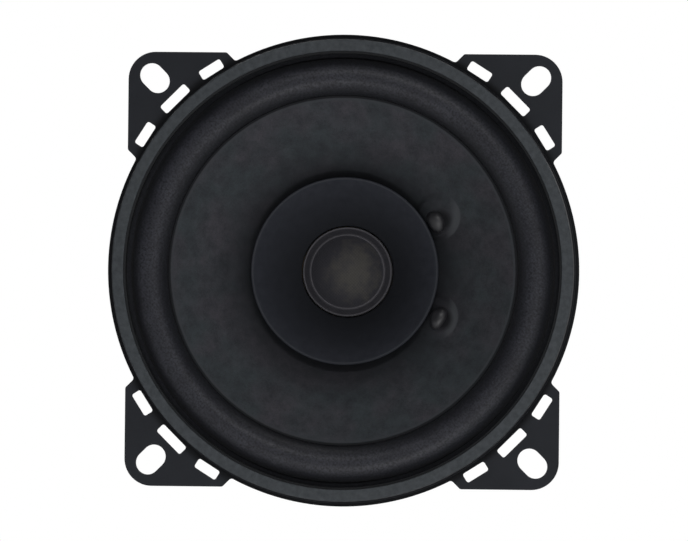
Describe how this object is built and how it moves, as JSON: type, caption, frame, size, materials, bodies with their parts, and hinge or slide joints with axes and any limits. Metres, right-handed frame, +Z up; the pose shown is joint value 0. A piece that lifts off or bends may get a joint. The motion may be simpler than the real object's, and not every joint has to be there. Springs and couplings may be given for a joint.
{
  "type": "dual-cone car speaker",
  "caption": "Round full-range car speaker with a small high-frequency cone in its main cone, a pressed steel basket and mounting ears at the corners of a square.",
  "frame": {"origin": "middle of the flange's rear face, on the speaker's axis, where the ears seat on the panel", "axes": "-Y is the way the speaker faces, +Y runs back along its axis to the magnet, +Z is up and +X is towards the terminals"},
  "size_m": [0.1016, 0.0493, 0.1016],
  "materials": {
    "painted_steel": "satin black paint on pressed steel",
    "gasket_foam": "matt dark grey closed-cell foam",
    "surround_cloth": "doped black cloth, matt",
    "cone_paper": "black pulp paper, matt and slightly fibrous",
    "whizzer_paper": "thin black paper, matt",
    "cap_fabric": "woven dark grey fabric",
    "former_kapton": "translucent amber film",
    "coil_wire": "enamelled copper wire",
    "collar_paper": "brown kraft paper",
    "black_adhesive": "cured black adhesive, glossy",
    "spider_cloth": "resin-treated woven cotton, yellow-brown",
    "zinc_steel": "zinc-plated steel",
    "ferrite": "sintered ferrite, dark grey",
    "phenolic_board": "brown phenolic paper board",
    "tinned_brass": "tin-plated brass",
    "solder": "soft solder, bright",
    "tinsel_braid": "braided copper tinsel on textile"
  },
  "bodies": {
    "frame_and_motor": {"basket": "painted_steel", "gasket": "gasket_foam", "surround": "surround_cloth", "spider": "spider_cloth", "top_plate": "zinc_steel", "magnet": "ferrite", "yoke_and_pole": "zinc_steel", "basket_rivet_1": "zinc_steel", "basket_rivet_2": "zinc_steel", "basket_rivet_3": "zinc_steel", "basket_rivet_4": "zinc_steel", "terminal_board": "phenolic_board", "terminal_positive": "tinned_brass", "terminal_negative": "tinned_brass", "terminal_rivet": "tinned_brass", "solder_joint_upper": "solder", "solder_joint_lower": "solder", "tinsel_lead_upper": "tinsel_braid", "tinsel_lead_lower": "tinsel_braid"},
    "moving_assembly": {"cone": "cone_paper", "whizzer_cone": "whizzer_paper", "dust_cap": "cap_fabric", "voice_coil_former": "former_kapton", "voice_coil_winding": "coil_wire", "former_collar": "collar_paper", "neck_glue": "black_adhesive", "lead_dot_upper": "black_adhesive", "lead_dot_lower": "black_adhesive"}
  },
  "joints": [
    {"name": "cone_travel", "type": "slide", "parent": "frame_and_motor", "child": "moving_assembly", "axis": [0, -1, 0], "range_m": [-0.0025, 0.0025], "stiffness_N_per_m": 1400, "deforming": ["surround", "spider", "tinsel_lead_upper", "tinsel_lead_lower"]}
  ]
}
